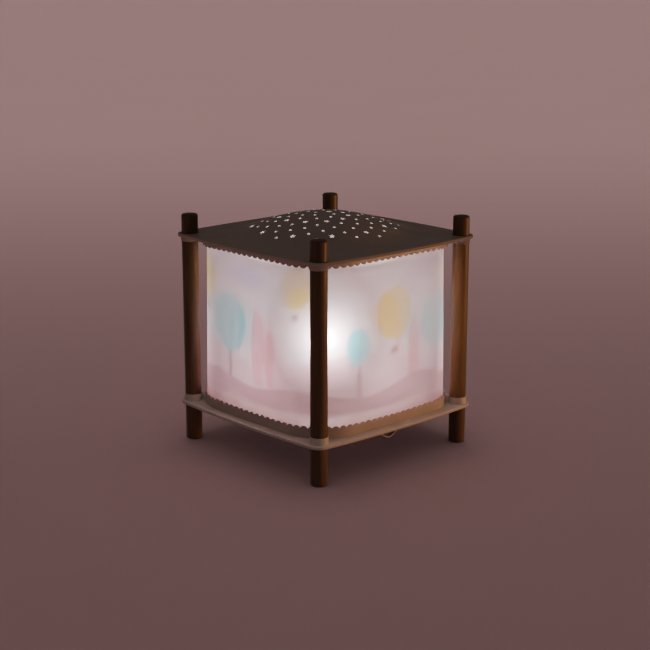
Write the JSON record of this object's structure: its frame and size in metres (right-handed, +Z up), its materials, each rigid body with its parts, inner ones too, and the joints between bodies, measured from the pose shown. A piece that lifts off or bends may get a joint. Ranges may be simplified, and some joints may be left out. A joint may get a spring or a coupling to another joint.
{
  "type": "lantern lamp",
  "caption": "Square table lantern with wooden posts, star-pierced domed cover, scalloped bands and a translucent shade; warm air from its bulb turns a printed film drum inside.",
  "frame": {"origin": "on the table, under the middle of the lantern", "axes": "+Z up along the drum's axis, the sides square to X and Y, the front side at -Y"},
  "size_m": [0.1802, 0.1802, 0.192],
  "materials": {
    "post_wood": "dark stained, satin",
    "base_paint": "satin cream",
    "cover_paint": "satin cream, pale inside",
    "shade_sheet": "frosted translucent sheet",
    "printed_film": "clear printed film",
    "hoop_plastic": "moulded white",
    "fan_sheet": "thin white translucent sheet",
    "cap_aluminium": "mill",
    "plain_steel": "bright",
    "contact_brass": "turned",
    "holder_plastic": "moulded",
    "grommet_rubber": "matte",
    "bulb_glass": "frosted, lit"
  },
  "bodies": {
    "frame": {"post_front_left": "post_wood", "post_front_right": "post_wood", "post_rear_left": "post_wood", "post_rear_right": "post_wood", "bottom_plate": "base_paint", "bottom_crown": "base_paint", "cord_bridge": "base_paint", "pivot_arch": "plain_steel", "arch_nuts": "plain_steel", "pivot_needle": "plain_steel", "shade": "shade_sheet", "top_crown": "base_paint", "top_cover": "cover_paint"},
    "lamp_unit": {"lamp_tray": "base_paint", "cord_grommet": "grommet_rubber", "lamp_holder": "holder_plastic", "holder_screws": "plain_steel", "bulb_contact": "contact_brass", "bulb_cap": "cap_aluminium", "bulb_glass": "bulb_glass"},
    "drum": {"pivot_cup": "contact_brass", "drum_fan": "fan_sheet", "drum_top_ring": "hoop_plastic", "drum_bottom_ring": "hoop_plastic", "drum_film": "printed_film"}
  },
  "joints": [
    {"name": "drum_spin", "type": "hinge", "parent": "frame", "child": "drum", "pos_m": [0, 0, 0.159], "axis": [0, 0, 1], "continuous": true},
    {"name": "tray_twist", "type": "hinge", "parent": "frame", "child": "lamp_unit", "pos_m": [0, 0, 0.0331], "axis": [0, 0, 1], "range_deg": [0, 24]}
  ]
}
